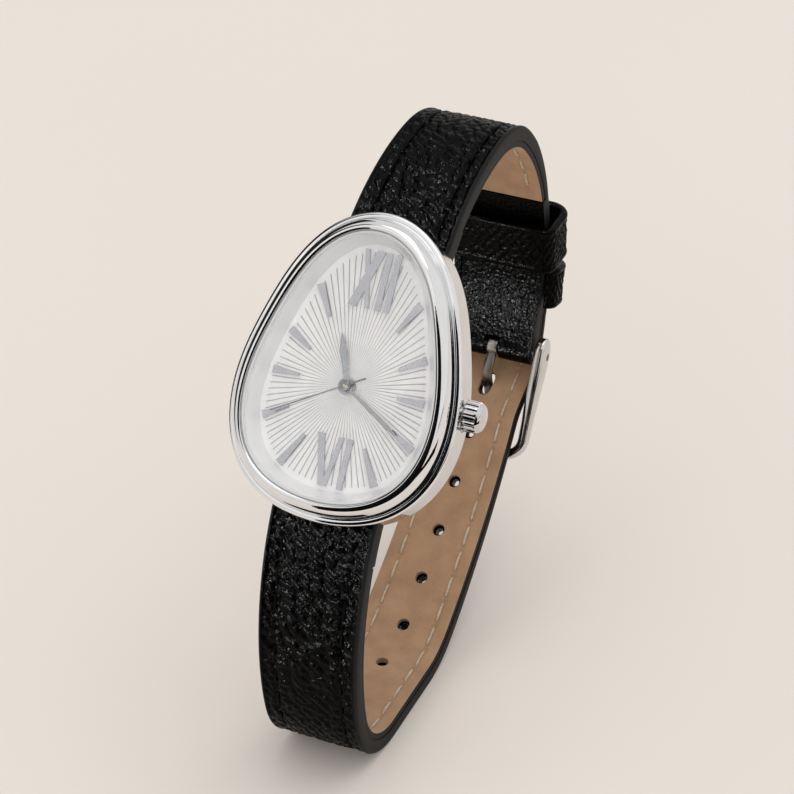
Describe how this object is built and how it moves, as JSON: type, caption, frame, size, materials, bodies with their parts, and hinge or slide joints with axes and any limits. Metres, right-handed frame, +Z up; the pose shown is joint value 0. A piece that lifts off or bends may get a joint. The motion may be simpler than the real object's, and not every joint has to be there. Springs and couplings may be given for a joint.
{
  "type": "wristwatch",
  "caption": "Wristwatch with a rounded teardrop case, sunburst dial with applied wedge markers, three hands, fluted crown and buckled leather strap, standing on the bend of its strap.",
  "frame": {"origin": "middle of the straight stretch of the long strap on which the watch stands, on the floor", "axes": "+Z up, +X from the dial's middle towards 3 o'clock and the crown, -Y the side that the dial faces, leaning back 36 degrees"},
  "size_m": [0.0274, 0.0596, 0.0614],
  "materials": {
    "case_body": "polished, satin flanks",
    "bezel": "mirror polished",
    "crystal": "clear, flat, bevelled rim",
    "crystal_gasket": "translucent",
    "dial_ring": "satin silver",
    "dial": "silver white sunburst",
    "hour_markers": "flat polished",
    "roman_numerals": "flat polished",
    "hour_hand": "polished",
    "minute_hand": "polished",
    "second_hand": "polished",
    "movement_holder": "moulded",
    "main_plate": "plated, matt",
    "circuit_board": "solder resist",
    "coil": "enamelled copper",
    "battery": "satin",
    "battery_clamp": "spring steel",
    "hour_wheel": "fine",
    "cannon_pinion": "fine",
    "seconds_wheel": "fine",
    "train_bridge": "grained",
    "setting_lever": "hardened",
    "stem": "turned",
    "crown": "polished, fluted",
    "crown_tube": "turned",
    "crown_gasket": "black",
    "case_back": "satin, circular grain",
    "back_gasket": "black",
    "spring_bar_12": "turned",
    "spring_bar_6": "turned",
    "strap_12_leather": "black embossed grain, semi-gloss, painted edges",
    "strap_12_lining": "tan nubuck",
    "strap_6_leather": "black embossed grain, semi-gloss, painted edges",
    "strap_6_lining": "tan nubuck",
    "fixed_keeper": "black embossed grain",
    "loose_keeper": "black embossed grain",
    "buckle_bar": "turned",
    "buckle_frame": "polished",
    "buckle_prong": "polished"
  },
  "bodies": {
    "watch": {"case_body": "case_body", "bezel": "bezel", "crystal": "crystal", "crystal_gasket": "crystal_gasket", "dial_ring": "dial_ring", "dial": "dial", "hour_markers": "hour_markers", "roman_numerals": "roman_numerals", "movement_holder": "movement_holder", "main_plate": "main_plate", "circuit_board": "circuit_board", "coil": "coil", "battery": "battery", "battery_clamp": "battery_clamp", "train_bridge": "train_bridge", "crown_tube": "crown_tube", "case_back": "case_back", "back_gasket": "back_gasket", "spring_bar_12": "spring_bar_12", "spring_bar_6": "spring_bar_6", "strap_12_leather": "strap_12_leather", "strap_12_lining": "strap_12_lining", "strap_6_leather": "strap_6_leather", "strap_6_lining": "strap_6_lining", "fixed_keeper": "fixed_keeper", "buckle_bar": "buckle_bar"},
    "seconds": {"second_hand": "second_hand", "seconds_wheel": "seconds_wheel"},
    "minutes": {"minute_hand": "minute_hand", "cannon_pinion": "cannon_pinion"},
    "hours": {"hour_hand": "hour_hand", "hour_wheel": "hour_wheel"},
    "setting": {"setting_lever": "setting_lever"},
    "winding": {"stem": "stem", "crown": "crown", "crown_gasket": "crown_gasket"},
    "slider": {"loose_keeper": "loose_keeper"},
    "buckle": {"buckle_frame": "buckle_frame"},
    "prong": {"buckle_prong": "buckle_prong"}
  },
  "joints": [
    {"name": "minute_turn", "type": "hinge", "parent": "watch", "child": "minutes", "pos_m": [0, -0.0039, 0.04414], "axis": [0, 0.809, -0.5878], "continuous": true},
    {"name": "second_turn", "type": "hinge", "parent": "watch", "child": "seconds", "pos_m": [0, -0.0039, 0.04414], "axis": [0, 0.809, -0.5878], "continuous": true},
    {"name": "hour_turn", "type": "hinge", "parent": "watch", "child": "hours", "pos_m": [0, -0.0039, 0.04414], "axis": [0, 0.809, -0.5878], "continuous": true},
    {"name": "crown_pull", "type": "slide", "parent": "watch", "child": "setting", "axis": [1, 0, 0], "range_m": [0, 0.0009]},
    {"name": "crown_turn", "type": "hinge", "parent": "setting", "child": "winding", "pos_m": [0, -0.0026, 0.0432], "axis": [1, 0, 0], "continuous": true},
    {"name": "keeper_slide", "type": "slide", "parent": "watch", "child": "slider", "axis": [0, 0.0498, -0.9988], "range_m": [-0.0012, 0.0002]},
    {"name": "buckle_swing", "type": "hinge", "parent": "watch", "child": "buckle", "pos_m": [0, 0.03641, 0.02646], "axis": [1, 0, 0], "range_deg": [0, 10]},
    {"name": "prong_swing", "type": "hinge", "parent": "watch", "child": "prong", "pos_m": [0, 0.03641, 0.02646], "axis": [1, 0, 0], "range_deg": [0, 10]}
  ],
  "couplings": [
    {"joint": "minute_turn", "follows": "second_turn", "ratio": 0.016667},
    {"joint": "hour_turn", "follows": "second_turn", "ratio": 0.0013889},
    {"joint": "prong_swing", "follows": "buckle_swing", "ratio": 1}
  ]
}
